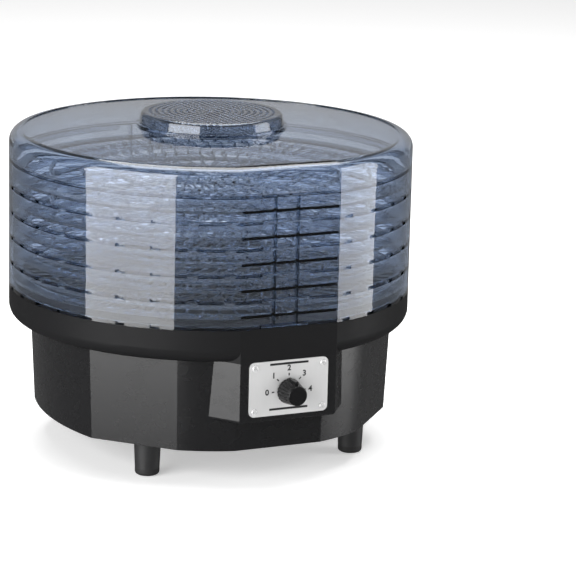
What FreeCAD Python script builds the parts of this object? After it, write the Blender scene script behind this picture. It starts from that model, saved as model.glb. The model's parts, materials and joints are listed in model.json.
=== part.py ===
import FreeCAD, Part
import math
import os

from FreeCAD import Vector

# Food dehydrator: a round fan-and-heater base on four feet, five stacking trays, a lid and a turning vent cap.
# Millimetres, +Z up, front towards -Y. The pieces are drawn about the fan's axis and written out with the
# origin on the table under the middle of the whole outline, from the knob's tip to the back of the trays.

# ---------------------------------------------------------------- overall sizes
outer_radius = 170.0            # plan radius of the base rim, the trays and the lid
flat_half_angle = 14.5          # the front is cut flat across twice this angle
foot_height = 28.8              # table to the underside of the base
body_height = 77.7              # underside of the base to the underside of the rim
rim_height = 27.5               # base rim, up to the seat of the first tray
tray_count = 5
tray_pitch = 21.4               # stacking height of one tray
lid_height = 25.0               # last tray seam to the crown of the lid's shoulder

# ---------------------------------------------------------------- base
housing_wall = 3.0
rim_round = 11.0                # rounding under the rim
body_inset = 14.5               # rim to the top of the body
body_taper = 3.5                # how much smaller the body is at its foot
facet_half_angle = 14.6
facet_spacing = 47.0
side_angle = 88.0               # middle of the flatter side, and its half angle
side_half_angle = 26.0
side_set_in = 7.5               # how far the side is pulled in from the round
back_set_in = 3.5
box_drop = 50.5                 # how far the control box hangs below the rim's underside
box_slant = 36.0                # splay of the box's side walls, degrees from straight back
box_depth = 24.0
box_edge_round = 3.0
cover_thickness = 2.5
cover_gap = 0.3
boss_radius = 5.0
boss_inset = 17.0               # boss axis to the body's bottom outline
boss_height = 26.0
boss_rib_width = 3.0
front_part_distance = 100.0     # plane between the body's front part and its two side parts
boss_angles = (26.0, 76.0, 165.0, -26.0, -76.0, -165.0)
screw_radius = 1.75
screw_hole_radius = 1.95
screw_head_radius = 3.4
screw_head_height = 1.8
screw_length = 13.0

# ---------------------------------------------------------------- feet
foot_inset = 21.0               # body's bottom outline to the feet
foot_angles = {"front_left": -45.0, "front_right": 45.0, "rear_right": 135.0, "rear_left": -135.0}
foot_top_radius = 11.2
foot_bottom_radius = 10.2
foot_pad_height = 6.0
foot_pad_round = 3.0
foot_peg_radius = 4.5
foot_screw_length = 15.0

# ---------------------------------------------------------------- deck, grille and air path
deck_thickness = 3.0
deck_gap = 0.5
deck_boss_inset = 14.0
deck_boss_height = 14.0
deck_boss_angles = (85.0, 148.0, -148.0, -85.0)
outlet_radius = 58.0
collar_wall = 3.0
collar_height = 14.0
collar_ear_height = 5.0
grille_thickness = 2.4
grille_slot_width = 3.4
grille_rib_width = 2.2
grille_spokes = 8
grille_centre_radius = 9.0
grille_spigot_wall = 2.2
grille_spigot_depth = 4.0
duct_wall = 2.2
duct_motor_gap = 1.7
duct_flange_radius = 74.0
duct_flange_thickness = 2.2
duct_screw_circle = 68.0
duct_screw_angles = (30.0, 150.0, 270.0)

# ---------------------------------------------------------------- control plate, switch and knob
plate_width = 69.5
plate_height = 45.3
plate_thickness = 1.2
plate_corner = 4.5
plate_centre_drop = 22.4        # rim's underside to the middle of the plate
plate_screw_inset = 4.6
plate_screw_radius = 1.4
plate_screw_head_radius = 2.5
plate_screw_head_height = 1.1
plate_screw_length = 6.0
knob_axis_drop = 25.5
knob_base_radius = 10.6
knob_tip_radius = 8.0
knob_length = 17.5
knob_gap = 0.8
knob_grooves = 22
knob_groove_stop = 3.0
knob_round = 0.9
knob_pointer_rise = 0.6
knob_pointer_stop = 3.0
knob_groove_radius = 0.55
knob_recess_radius = 8.0
knob_recess_depth = 4.0
knob_pointer_width = 2.4
knob_bore_depth = 10.0
switch_width = 26.0
switch_height = 24.0
switch_depth = 20.0
bushing_radius = 4.6
bushing_hole_radius = 4.75
nut_thickness = 2.6
nut_across_flats = 13.0
switch_shaft_radius = 3.0
running_gap = 0.06              # radial gap where a shaft turns in its bearing

# ---------------------------------------------------------------- motor and fan
standoff_radius = 5.0
motor_screw_spacing = 21.0      # each screw's distance from the fan axis
motor_base_share = 0.0857       # heights inside the base as shares of the room from cover to ledge
core_share = 0.2302
fan_gap_share = 0.1343          # upper bearing to the fan's hub
fan_hub_share = 0.1918
heater_drop_share = 0.1662      # underside of the heater's cross plates to the ledge
heater_plate_share = 0.1279
bracket_thickness = 2.0
bracket_width = 15.0
core_half_width = 26.5
core_front = 20.0
core_back = 46.0
core_yoke = 10.0
core_window_half = 16.0
core_window_depth = 15.0
rotor_radius = 14.4
rotor_air_gap = 0.6
rotor_end_gap = 1.0
coil_half_width = 14.0
coil_build = 5.0
coil_gap = 0.3
bearing_radius = 5.5
bearing_height = 3.5
motor_shaft_radius = 2.5
shaft_stub = 3.0                # shaft above the fan's clip
fan_hub_radius = 12.0
fan_hub_round = 4.0
fan_tip_gap = 5.0
fan_blades = 7
fan_blade_pitch = 32.0
fan_blade_chord = 24.0
fan_blade_thickness = 1.8
clip_radius = 6.0
clip_thickness = 1.0

# ---------------------------------------------------------------- heater and safety parts
heater_plate_thickness = 1.5
heater_coil_shares = (0.414, 0.621, 0.828)          # of the outlet's radius
heater_tab_inset = 2.2
heater_coil_thickness = 2.2     # radius of the coiled wire's outside
thermostat_radius = 8.0
thermostat_height = 9.0
fuse_radius = 2.2
fuse_length = 16.0

# ---------------------------------------------------------------- terminals and cord gland
terminal_length = 42.0
terminal_width = 15.0
terminal_height = 13.0
terminal_ways = 4
terminal_inset = 40.0           # body's bottom outline to the terminals
terminal_floor = 5.0
terminal_screw_radius = 2.4
terminal_wire_radius = 1.6
gland_rise = 15.7               # cover to the cord inlet's axis
gland_pad_half_width = 14.0
gland_pad_rise = 3.5            # how far the pad stands out from the foot of the body
gland_pad_depth = 25.5
gland_pocket_depth = 32.5
gland_hole_radius = 6.0
gland_flange_radius = 8.5
gland_flange_thickness = 2.2
gland_bore_radius = 3.6

# ---------------------------------------------------------------- trays
tray_wall = 2.4
nest_gap = 0.4                  # skirt to the wall that it drops into
skirt_wall = 2.0
skirt_depth = 4.0
lip_height = 2.2
floor_height = 9.0              # seam to the underside of the tray's floor
floor_thickness = 2.4
floor_ring_width = 2.2
floor_rib_width = 2.0
floor_ring_shares = (0.094, 0.282, 0.459, 0.629, 0.788, 0.929)      # of the outer radius
floor_ribs = (20, 36, 48, 60, 72)
floor_rib_sweep = (10.0, -7.0, 6.0, -4.5, 0.0)     # how far each band's ribs lean, degrees
floor_rib_bow = 0.68
notch_first_angle = 17.7
notch_count = 17
notch_width = 8.5
notch_height = 2.8
front_slot_width = 43.0
front_slot_shift = -3.5         # middle of the slot and its posts, across
back_post_shift = 1.8
post_spacing = 20.0
post_width = 3.0
post_depth = 6.5
post_top_gap = 0.6              # top of a post to the next tray

# ---------------------------------------------------------------- lid and vent
lid_wall = 2.2
lid_round = 10.0
lid_recess = 0.9
lid_crown_width = 11.2          # shoulder's outer face to the recessed top panel
lid_dome_rise = 6.0
vent_ring_radius = 63.4
vent_ring_height = 2.4
vent_ring_sink = 1.5
vent_plate_thickness = 2.0
vent_grille_radius = 55.0
vent_hole_radius = 1.6
vent_hole_pitch = 5.2
vent_hole_rings = 10
cap_radius = 61.0
cap_height = 8.9
cap_wall = 2.0
cap_top_radius = 56.0
cap_draft = 1.2
cap_shoulder = 2.5
cap_hole_turn = 3.0
cap_gap = 0.4
pivot_radius = 4.0
pivot_head_radius = 6.5
pivot_head_thickness = 1.6
pivot_barb_radius = 2.0

# ---------------------------------------------------------------- levels worked out from the sizes above
flat_distance = outer_radius * math.cos(math.radians(flat_half_angle))
flat_half_width = outer_radius * math.sin(math.radians(flat_half_angle))
rim_bottom = foot_height + body_height
rim_top = rim_bottom + rim_height
lid_seam = rim_top + tray_count * tray_pitch
lid_crown = lid_seam + lid_height
panel_height = lid_crown - lid_recess
skirt_inset = housing_wall + nest_gap
ledge_top = rim_bottom + housing_wall
deck_top = ledge_top + deck_thickness
box_bottom = rim_bottom - box_drop
cover_top = foot_height + cover_thickness
inner_height = ledge_top - cover_top
body_top_radius = outer_radius - body_inset
body_bottom_radius = body_top_radius - body_taper
foot_circle_radius = body_bottom_radius - foot_inset
cover_screw_circle = body_bottom_radius - boss_inset
deck_screw_circle = body_top_radius - housing_wall - deck_boss_inset
plate_centre_height = rim_bottom - plate_centre_drop
knob_axis_height = rim_bottom - knob_axis_drop
gland_height = cover_top + gland_rise
gland_pad_distance = body_bottom_radius + gland_pad_rise
motor_base_height = cover_top + motor_base_share * inner_height
core_bottom = motor_base_height + bracket_thickness
core_top = core_bottom + core_share * inner_height
duct_bottom = core_top + coil_build + coil_gap + duct_motor_gap
fan_hub_bottom = core_top + bracket_thickness + bearing_height + fan_gap_share * inner_height
fan_hub_top = fan_hub_bottom + fan_hub_share * inner_height
shaft_top_height = fan_hub_top + clip_thickness + shaft_stub
heater_height = ledge_top - heater_drop_share * inner_height
heater_plate_height = heater_plate_share * inner_height
floor_rings = [share * outer_radius for share in floor_ring_shares]
notch_step = (180.0 - notch_first_angle) / (notch_count - 1)

Z_AXIS = Vector(0, 0, 1)
ORIGIN = Vector(0, 0, 0)
nodes = {}


# ---------------------------------------------------------------- small drawing helpers
def polar(radius, angle, z=0.0):
    """A point at a plan angle in degrees, counted from the front (-Y) towards the right (+X)."""
    turn = math.radians(angle)
    return Vector(radius * math.sin(turn), -radius * math.cos(turn), z)


def circle_arc(radius, start, end, z):
    """An arc about the Z axis between two plan angles."""
    middle = (start + end) / 2.0
    return Part.Arc(polar(radius, start, z), polar(radius, middle, z), polar(radius, end, z)).toShape()


def rod(radius, z_low, z_high, x=0.0, y=0.0):
    """An upright cylinder."""
    return Part.makeCylinder(radius, z_high - z_low, Vector(x, y, z_low), Z_AXIS)


def rod_at(radius, z_low, z_high, distance, angle):
    """An upright cylinder at a plan radius and angle."""
    place = polar(distance, angle)
    return rod(radius, z_low, z_high, place.x, place.y)


def tube(outer, inner, z_low, z_high):
    """An upright pipe about the Z axis."""
    return rod(outer, z_low, z_high).cut(rod(inner, z_low - 1.0, z_high + 1.0))


def block(x_low, x_high, y_low, y_high, z_low, z_high):
    """A box between two corners."""
    return Part.makeBox(x_high - x_low, y_high - y_low, z_high - z_low, Vector(x_low, y_low, z_low))


def turned_about_z(shape, angle):
    """A copy turned about the Z axis."""
    copy = shape.copy()
    copy.rotate(ORIGIN, Z_AXIS, angle)
    return copy


def lathe(points, rounded=None):
    """A solid of revolution from (radius, z) points; rounded maps a segment's index to its arc's middle point."""
    rounded = rounded or {}
    corners = [Vector(radius, 0, z) for radius, z in points]
    edges = []
    for index, start in enumerate(corners):
        end = corners[(index + 1) % len(corners)]
        if index in rounded:
            radius, z = rounded[index]
            edges.append(Part.Arc(start, Vector(radius, 0, z), end).toShape())
        else:
            edges.append(Part.makeLine(start, end))
    return Part.Face(Part.Wire(edges)).revolve(ORIGIN, Z_AXIS, 360.0)


def fused(shapes):
    """All the shapes joined into one."""
    return shapes[0].fuse(shapes[1:]).removeSplitter()


def quarter_middle(radius, z, size, outward, upward):
    """The middle point of a quarter-round whose centre is at (radius, z)."""
    reach = size * math.sqrt(0.5)
    return radius + outward * reach, z + upward * reach


def outline(inset, z):
    """The plan outline shared by rim, trays and lid: a circle with a flat front, moved in by inset."""
    radius = outer_radius - inset
    half = math.degrees(math.acos((flat_distance - inset) / radius))
    arc = circle_arc(radius, half, 360.0 - half, z)
    return Part.Wire([arc, Part.makeLine(polar(radius, -half, z), polar(radius, half, z))])


def slab(inset, z_low, z_high):
    """The shared outline, extruded."""
    return Part.Face(outline(inset, z_low)).extrude(Vector(0, 0, z_high - z_low))


def wall_band(inset, thickness, z_low, z_high):
    """A hoop that follows the shared outline."""
    return slab(inset, z_low, z_high).cut(slab(inset + thickness, z_low - 1.0, z_high + 1.0))


def faceted_outline(radius, inset, z):
    """The body's plan: round, with three flats across the front and a flatter curve at each side."""
    flat = radius * math.cos(math.radians(facet_half_angle)) - inset
    half = math.degrees(math.acos(flat / (radius - inset)))
    turn = radius - inset
    edges = []
    for centre in (-facet_spacing, 0.0, facet_spacing):
        edges.append(Part.makeLine(polar(turn, centre - half, z), polar(turn, centre + half, z)))
        if centre < facet_spacing:
            edges.append(circle_arc(turn, centre + half, centre + facet_spacing - half, z))
    corner = facet_spacing + half
    side_end = side_angle + side_half_angle
    back_radius = turn - back_set_in
    for side in (1, -1):
        points = [polar(turn, side * corner, z), polar(turn - side_set_in, side * side_angle, z),
                  polar(back_radius, side * side_end, z)]
        edges.append(Part.Arc(*points).toShape())
    edges.append(circle_arc(back_radius, side_end, 360.0 - side_end, z))
    return Part.Wire(Part.__sortEdges__(edges))


def tapered_body(inset, z_low, z_high):
    """The body's tapered form between two heights, moved in by inset."""
    def radius_at(z):
        share = (z - foot_height) / body_height
        return body_bottom_radius + share * (body_top_radius - body_bottom_radius)
    low = faceted_outline(radius_at(z_low), inset, z_low)
    high = faceted_outline(radius_at(z_high), inset, z_high)
    return Part.makeLoft([low, high], True, True)


def panel_screw_places():
    """The four corners of the control plate, as (x, z)."""
    half_x = plate_width / 2.0 - plate_screw_inset
    half_z = plate_height / 2.0 - plate_screw_inset
    return [(sx * half_x, plate_centre_height + sz * half_z) for sx in (-1, 1) for sz in (-1, 1)]


def forward_rod(radius, y_back, y_front, x, z):
    """A cylinder that runs towards the front, between two distances in front of the axis."""
    return Part.makeCylinder(radius, y_front - y_back, Vector(x, -y_back, z), Vector(0, -1, 0))


# ---------------------------------------------------------------- base housing
def rim_form(inset, z_high):
    """The rim's round form: upright wall, rounded underside, flat front."""
    bottom = rim_bottom + inset
    turn = rim_round - inset
    centre = outer_radius - rim_round
    points = [(0, bottom), (centre, bottom), (outer_radius - inset, rim_bottom + rim_round),
              (outer_radius - inset, z_high), (0, z_high)]
    middle = quarter_middle(centre, rim_bottom + rim_round, turn, 1, -1)
    form = lathe(points, {1: middle})
    reach = outer_radius + 10.0
    front = block(-reach, reach, -reach, -(flat_distance - inset), rim_bottom - 10.0, z_high + 10.0)
    return form.cut(front)


def control_box(inset):
    """The box that carries the controls: it hangs from the rim's flat front."""
    front = flat_distance - inset
    back = flat_distance - box_depth
    spread = math.tan(math.radians(box_slant))
    side_shift = inset / math.cos(math.radians(box_slant))
    half_front = flat_half_width - side_shift + inset * spread
    half_back = half_front + (front - back) * spread
    corners = [Vector(-half_front, -front, 0), Vector(half_front, -front, 0),
               Vector(half_back, -back, 0), Vector(-half_back, -back, 0)]
    face = Part.Face(Part.makePolygon(corners + corners[:1]))
    face.translate(Vector(0, 0, box_bottom + inset))
    return face.extrude(Vector(0, 0, rim_bottom + rim_round - box_bottom - inset))


def rounded_control_box():
    """The control box with its lower front edges rounded."""
    box = control_box(0.0)
    low_edges = [edge for edge in box.Edges
                 if abs(edge.BoundBox.ZMax - box_bottom) < 0.01 and edge.BoundBox.YMin < -flat_distance + 1.0]
    return box.makeFillet(box_edge_round, low_edges)


def wall_post(distance, angle, z_low, z_high):
    """A screw post tied to the body's wall by a rib."""
    post = rod_at(boss_radius, z_low, z_high, distance, angle)
    half = boss_rib_width / 2.0
    rib = block(-half, half, -outer_radius, -distance, z_low, z_high)
    return post.fuse(turned_about_z(rib, angle))


def cover_bosses():
    """Screw posts for the bottom cover."""
    return [wall_post(cover_screw_circle, angle, cover_top, cover_top + boss_height)
            for angle in boss_angles]


def deck_bosses():
    """Screw posts under the deck, inside the top of the body."""
    return [wall_post(deck_screw_circle, angle, ledge_top - deck_boss_height, ledge_top)
            for angle in deck_boss_angles]


def make_housing():
    outside = [rim_form(0.0, rim_top), tapered_body(0.0, foot_height, rim_bottom), rounded_control_box()]
    pad_low = gland_height - gland_pad_half_width
    pad_high = gland_height + gland_pad_half_width
    outside.append(block(-gland_pad_half_width, gland_pad_half_width,
                         gland_pad_distance - gland_pad_depth, gland_pad_distance, pad_low, pad_high))
    shell = fused(outside)
    inside = [rim_form(housing_wall, rim_top + 1.0), tapered_body(housing_wall, foot_height, ledge_top),
              control_box(housing_wall)]
    for hollow in inside:
        shell = shell.cut(hollow)
    open_bottom = tapered_body(housing_wall, foot_height, foot_height + 1.0)
    open_bottom.translate(Vector(0, 0, -1.0))
    shell = shell.cut(open_bottom)
    shell = shell.cut(block(-gland_pad_half_width + housing_wall, gland_pad_half_width - housing_wall,
                            gland_pad_distance - gland_pocket_depth, gland_pad_distance - housing_wall,
                            pad_low + housing_wall, pad_high - housing_wall))
    posts = [post.common(tapered_body(housing_wall / 2.0, foot_height, ledge_top))
             for post in cover_bosses() + deck_bosses()]
    shell = fused([shell] + posts)
    for angle in boss_angles:
        shell = shell.cut(rod_at(screw_radius, foot_height, cover_top + screw_length,
                                 cover_screw_circle, angle))
    for angle in deck_boss_angles:
        shell = shell.cut(rod_at(screw_radius, ledge_top - screw_length, ledge_top + 1.0,
                                 deck_screw_circle, angle))
    front = flat_distance
    shell = shell.cut(forward_rod(bushing_hole_radius, front - 2.0 * housing_wall, front + 1.0, 0, knob_axis_height))
    for x, z in panel_screw_places():
        shell = shell.cut(forward_rod(plate_screw_radius, front - 2.0 * housing_wall, front + 1.0, x, z))
    shell = shell.cut(forward_rod(gland_hole_radius, -gland_pad_distance - 1.0,
                                  gland_pad_depth - gland_pad_distance, 0, gland_height))
    reach = outer_radius + 10.0
    above = block(-reach, reach, -reach, reach, rim_bottom, rim_top + 10.0)
    nodes["base_rim"] = shell.common(above)
    body = shell.cut(above)
    front = block(-reach, reach, -reach, -front_part_distance, 0.0, rim_bottom)
    left = block(-reach, 0.0, -front_part_distance, reach, 0.0, rim_bottom)
    right = block(0.0, reach, -front_part_distance, reach, 0.0, rim_bottom)
    for name, part in (("front", front), ("left", left), ("right", right)):
        nodes["base_body_" + name] = body.common(part)


# ---------------------------------------------------------------- bottom cover, feet and their screws
def make_bottom_cover():
    plate = tapered_body(housing_wall + cover_gap, foot_height, cover_top)
    slots = []
    for start in range(0, 360, 30):
        for low, high in ((34.0, 40.0), (46.0, 52.0)):
            slots.append(ring_sector(low, high, start + 4.0, start + 26.0, foot_height - 1.0, cover_top + 1.0))
    plate = plate.cut(slots)
    holes = [rod_at(screw_hole_radius, foot_height - 1.0, cover_top + 1.0, cover_screw_circle, angle)
             for angle in boss_angles]
    holes += [rod_at(foot_peg_radius + cover_gap, foot_height - 1.0, cover_top + 1.0, foot_circle_radius, angle)
              for angle in foot_angles.values()]
    plate = plate.cut(holes)
    posts = []
    for side in (-1, 1):
        posts.append(rod(standoff_radius, cover_top - 0.5, motor_base_height, side * motor_screw_spacing))
    cover = fused([plate] + posts)
    for side in (-1, 1):
        cover = cover.cut(rod(screw_radius, cover_top, motor_base_height + 1.0, side * motor_screw_spacing))
    nodes["bottom_cover"] = cover
    screws = []
    for angle in boss_angles:
        shank = rod_at(screw_radius, foot_height - 0.1, foot_height + screw_length,
                       cover_screw_circle, angle)
        head = rod_at(screw_head_radius, foot_height - screw_head_height, foot_height,
                      cover_screw_circle, angle)
        screws.append(shank.fuse(head))
    nodes["cover_screws"] = Part.makeCompound(screws)


def ring_sector(low, high, start, end, z_low, z_high, lean=0.0):
    """A slice of a ring, extruded; lean turns its inner end on by so many degrees."""
    face = Part.Face(sector_wire(low, high, start, end, z_low, lean))
    return face.extrude(Vector(0, 0, z_high - z_low))


def sector_wire(low, high, start, end, z, lean=0.0):
    """The outline of one slice of a ring. A leaning slice has bowed sides."""
    outer = circle_arc(high, start, end, z)
    inner = circle_arc(low, end + lean, start + lean, z)
    if lean == 0.0:
        sides = [Part.makeLine(polar(high, end, z), polar(low, end, z)),
                 Part.makeLine(polar(low, start, z), polar(high, start, z))]
    else:
        middle = (low + high) / 2.0
        bow = floor_rib_bow * lean
        sides = [Part.Arc(polar(high, end, z), polar(middle, end + bow, z), polar(low, end + lean, z)).toShape(),
                 Part.Arc(polar(low, start + lean, z), polar(middle, start + bow, z),
                          polar(high, start, z)).toShape()]
    return Part.Wire([outer, sides[0], inner, sides[1]])


def make_feet():
    screws = []
    for name, angle in foot_angles.items():
        place = polar(foot_circle_radius, angle)
        leg = Part.makeCone(foot_bottom_radius, foot_top_radius, foot_height - foot_pad_height,
                            Vector(0, 0, foot_pad_height), Z_AXIS)
        leg = leg.fuse(rod(foot_peg_radius, foot_height - 1.0, cover_top)).removeSplitter()
        leg = leg.cut(rod(screw_radius, cover_top - foot_screw_length, cover_top + 1.0))
        leg.translate(place)
        nodes["foot_" + name] = leg
        low_radius = foot_bottom_radius - foot_pad_round
        points = [(0, 0), (low_radius, 0), (foot_bottom_radius, foot_pad_round),
                  (foot_bottom_radius, foot_pad_height), (0, foot_pad_height)]
        pad = lathe(points, {1: quarter_middle(low_radius, foot_pad_round, foot_pad_round, 1, -1)})
        pad.translate(place)
        nodes["foot_pad_" + name] = pad
        screw = rod(screw_radius, cover_top - foot_screw_length, cover_top + 0.1)
        screw = screw.fuse(rod(foot_peg_radius + 2.0, cover_top, cover_top + screw_head_height))
        screw.translate(place)
        screws.append(screw)
    nodes["foot_screws"] = Part.makeCompound(screws)


# ---------------------------------------------------------------- deck, outlet grille and air duct
def make_deck():
    radius = outer_radius - rim_round - deck_gap
    plate = tube(radius, outlet_radius, ledge_top, deck_top)
    holes = [rod_at(screw_hole_radius, ledge_top - 1.0, deck_top + 1.0, deck_screw_circle, angle)
             for angle in deck_boss_angles]
    holes += [rod_at(screw_hole_radius, ledge_top - 1.0, deck_top + 1.0, duct_screw_circle, angle)
              for angle in duct_screw_angles]
    nodes["air_deck"] = plate.cut(holes)
    screws = []
    for angle in deck_boss_angles:
        shank = rod_at(screw_radius, deck_top - screw_length, deck_top + 0.1, deck_screw_circle, angle)
        head = rod_at(screw_head_radius, deck_top, deck_top + screw_head_height, deck_screw_circle, angle)
        screws.append(shank.fuse(head))
    nodes["deck_screws"] = Part.makeCompound(screws)


def make_outlet_collar():
    """The ring round the air outlet, held by the duct's screws through three ears."""
    ring = tube(outlet_radius + collar_wall, outlet_radius, deck_top, deck_top + collar_height)
    ears = []
    for angle in duct_screw_angles:
        ear = rod_at(boss_radius, deck_top, deck_top + collar_ear_height, duct_screw_circle, angle)
        tie = block(-boss_radius, boss_radius, -duct_screw_circle, -(outlet_radius + collar_wall / 2.0),
                    deck_top, deck_top + collar_ear_height)
        ears.append(ear.fuse(turned_about_z(tie, angle)))
    holes = [rod_at(screw_radius, deck_top - 1.0, deck_top + collar_ear_height - 1.0, duct_screw_circle, angle)
             for angle in duct_screw_angles]
    nodes["outlet_collar"] = fused([ring] + ears).cut(holes)


def make_outlet_grille():
    low = deck_top + collar_height
    radius = outlet_radius + collar_wall
    disc = rod(radius, low, low + grille_thickness)
    slots = []
    pitch = grille_slot_width + grille_rib_width
    inner = grille_centre_radius
    while inner + grille_slot_width < outlet_radius - 1.0:
        half_rib = math.degrees(grille_rib_width / 2.0 / inner)
        for spoke in range(grille_spokes):
            start = spoke * 360.0 / grille_spokes + half_rib
            end = (spoke + 1) * 360.0 / grille_spokes - half_rib
            slots.append(ring_sector(inner, inner + grille_slot_width, start, end,
                                     low - 1.0, low + grille_thickness + 1.0))
        inner += pitch
    spigot = tube(outlet_radius - cover_gap, outlet_radius - cover_gap - grille_spigot_wall,
                  low - grille_spigot_depth, low + 0.5)
    nodes["outlet_grille"] = disc.cut(slots).fuse(spigot).removeSplitter()


def make_air_duct():
    wall = tube(outlet_radius + duct_wall, outlet_radius, duct_bottom, ledge_top)
    flange = tube(duct_flange_radius, outlet_radius, ledge_top - duct_flange_thickness, ledge_top)
    duct = fused([wall, flange])
    holes = [rod_at(screw_hole_radius, duct_bottom, ledge_top + 1.0, duct_screw_circle, angle)
             for angle in duct_screw_angles]
    duct = duct.cut(holes)
    arm = heater_plate_thickness / 2.0 + 0.1
    for angle in (0.0, 90.0):
        slot = block(-arm, arm, -outlet_radius - duct_wall - 1.0, outlet_radius + duct_wall + 1.0,
                     heater_height + heater_tab_inset - 0.2,
                     heater_height + heater_plate_height - heater_tab_inset + 0.2)
        duct = duct.cut(turned_about_z(slot, angle))
    nodes["air_duct"] = duct
    screws = []
    low = ledge_top - duct_flange_thickness
    for angle in duct_screw_angles:
        shank = rod_at(screw_radius, low - 0.1, deck_top + collar_ear_height - 1.5, duct_screw_circle, angle)
        head = rod_at(screw_head_radius, low - screw_head_height, low, duct_screw_circle, angle)
        screws.append(shank.fuse(head))
    nodes["duct_screws"] = Part.makeCompound(screws)


# ---------------------------------------------------------------- control plate, switch and knob
def make_controls():
    front = flat_distance
    sketch = block(-plate_width / 2.0, plate_width / 2.0, -(front + plate_thickness), -front,
                   plate_centre_height - plate_height / 2.0, plate_centre_height + plate_height / 2.0)
    corner_edges = [edge for edge in sketch.Edges
                    if abs(edge.BoundBox.YLength - plate_thickness) < 0.01]
    plate = sketch.makeFillet(plate_corner, corner_edges)
    plate = plate.cut(forward_rod(bushing_hole_radius, front - 1.0, front + 5.0, 0, knob_axis_height))
    screws = []
    for x, z in panel_screw_places():
        plate = plate.cut(forward_rod(plate_screw_radius + 0.15, front - 1.0, front + 5.0, x, z))
        face = front + plate_thickness
        shank = forward_rod(plate_screw_radius, face - plate_screw_length, face + 0.1, x, z)
        head = forward_rod(plate_screw_head_radius, face, face + plate_screw_head_height, x, z)
        top_edges = [edge for edge in head.Edges
                     if edge.BoundBox.YMax < -(face + plate_screw_head_height) + 0.01]
        head = head.makeFillet(plate_screw_head_height * 0.7, top_edges)
        driver = block(x - 1.4, x + 1.4, -(face + 2.0), -(face + 0.55), z - 0.3, z + 0.3)
        driver = driver.fuse(block(x - 0.3, x + 0.3, -(face + 2.0), -(face + 0.55), z - 1.4, z + 1.4))
        screws.append(shank.fuse(head).removeSplitter().cut(driver))
    nodes["control_plate"] = plate
    nodes["plate_screws"] = Part.makeCompound(screws)

    wall_back = front - housing_wall
    nut_front = front + plate_thickness + nut_thickness
    body = block(-switch_width / 2.0, switch_width / 2.0, -wall_back, -(wall_back - switch_depth),
                 knob_axis_height - switch_height / 2.0, knob_axis_height + switch_height / 2.0)
    bushing = forward_rod(bushing_radius, wall_back - 1.0, nut_front + 1.0, 0, knob_axis_height)
    body = fused([body, bushing])
    shaft_back = wall_back - switch_depth * 0.6
    bore = forward_rod(switch_shaft_radius + running_gap, shaft_back - 0.5, nut_front + 2.0,
                       0, knob_axis_height)
    nodes["switch_body"] = body.cut(bore)
    across = nut_across_flats / math.sqrt(3.0)
    corners = [Vector(across * math.cos(math.radians(60 * k)), -(front + plate_thickness),
                      knob_axis_height + across * math.sin(math.radians(60 * k))) for k in range(7)]
    nut = Part.Face(Part.makePolygon(corners)).extrude(Vector(0, -nut_thickness, 0))
    nodes["switch_nut"] = nut.cut(forward_rod(bushing_radius, front - 1.0, front + 9.0, 0, knob_axis_height))

    knob_back = front + plate_thickness + knob_gap
    knob_front = knob_back + knob_length
    recess_end = knob_back + knob_recess_depth
    shaft = forward_rod(switch_shaft_radius, shaft_back, recess_end + knob_bore_depth, 0, knob_axis_height)
    nodes["switch_shaft"] = shaft
    knob = Part.makeCone(knob_base_radius, knob_tip_radius, knob_length,
                         Vector(0, -knob_back, knob_axis_height), Vector(0, -1, 0))
    rim_edges = [edge for edge in knob.Edges if edge.BoundBox.YMax < -knob_front + 0.01]
    knob = knob.makeFillet(knob_round, rim_edges)
    groove_length = knob_length - knob_groove_stop
    slope = (knob_base_radius - knob_tip_radius) / knob_length
    for index in range(1, knob_grooves):
        angle = math.radians(360.0 * index / knob_grooves)
        out = Vector(math.sin(angle), 0, math.cos(angle))
        start = Vector(0, -knob_back + 0.5, knob_axis_height) + out * (knob_base_radius + 0.1)
        along = Vector(0, -1, 0) - out * slope
        knob = knob.cut(Part.makeCylinder(knob_groove_radius, groove_length, start, along))
    pointer = block(-knob_pointer_width / 2.0, knob_pointer_width / 2.0, -(knob_front - knob_pointer_stop),
                    -knob_back,
                    knob_axis_height + knob_tip_radius - 1.5,
                    knob_axis_height + knob_base_radius + knob_pointer_rise)
    pointer = pointer.makeFillet(0.5, [edge for edge in pointer.Edges if edge.BoundBox.ZMin
                                       > knob_axis_height + knob_base_radius + knob_pointer_rise - 0.1])
    knob = knob.fuse(pointer).removeSplitter()
    knob = knob.cut(forward_rod(knob_recess_radius, knob_back - 1.0, recess_end, 0, knob_axis_height))
    knob = knob.cut(forward_rod(switch_shaft_radius, knob_back, recess_end + knob_bore_depth,
                                0, knob_axis_height))
    nodes["knob"] = knob


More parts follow.
